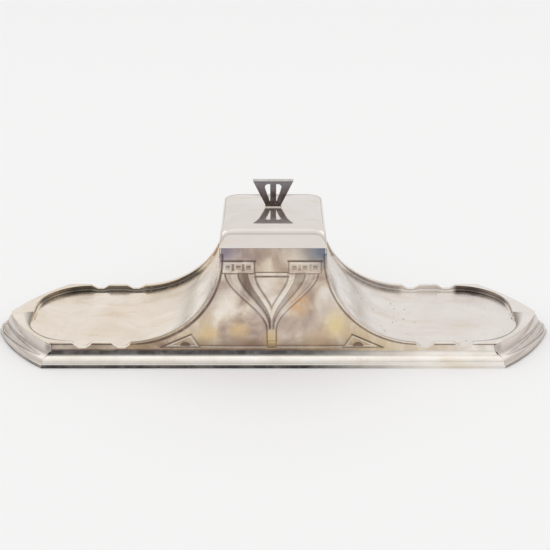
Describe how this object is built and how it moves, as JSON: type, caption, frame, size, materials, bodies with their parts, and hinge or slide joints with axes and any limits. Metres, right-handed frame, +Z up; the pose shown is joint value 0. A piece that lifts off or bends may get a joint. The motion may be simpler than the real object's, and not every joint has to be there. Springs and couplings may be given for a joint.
{
  "type": "desk inkstand",
  "caption": "Silver plated desk inkstand with a moulded pointed plinth, sunken pen trays and a hinged lid with an openwork knob over a glass ink pot.",
  "frame": {"origin": "centre of the underside", "axes": "+X along the stand to the right as seen from the front, -Y towards the front, +Z up"},
  "size_m": [0.34, 0.096, 0.1],
  "materials": {
    "bright_plate": "polished silver plate with fine wear",
    "stained_plate": "polished silver plate with brown and gold tarnish",
    "moulding_plate": "polished silver plate, darker in the hollows",
    "dark_plate": "heavily tarnished silver plate",
    "bare_metal": "dull, unplated",
    "clear_glass": "clear pressed glass",
    "green_baize": "napped wool"
  },
  "bodies": {
    "stand": {"front_moulding": "moulding_plate", "back_moulding": "moulding_plate", "left_end_moulding": "moulding_plate", "right_end_moulding": "moulding_plate", "left_tray": "bright_plate", "right_tray": "bright_plate", "front_panel": "stained_plate", "back_panel": "stained_plate", "top_frame": "bare_metal", "ink_pot": "clear_glass", "hinge_body_leaf": "bright_plate", "hinge_pin": "bare_metal", "base_plate": "bare_metal", "baize_pad": "green_baize", "base_lugs": "bare_metal", "base_screws": "bare_metal"},
    "lid": {"lid_shell": "bright_plate", "lid_bezel": "bright_plate", "hinge_lid_leaf": "bright_plate", "finial": "dark_plate", "finial_foot": "bright_plate", "finial_nut": "bare_metal"}
  },
  "joints": [
    {"name": "lid_hinge", "type": "hinge", "parent": "stand", "child": "lid", "pos_m": [0, 0.034, 0.0693], "axis": [-1, 0, 0], "range_deg": [0, 105]}
  ]
}
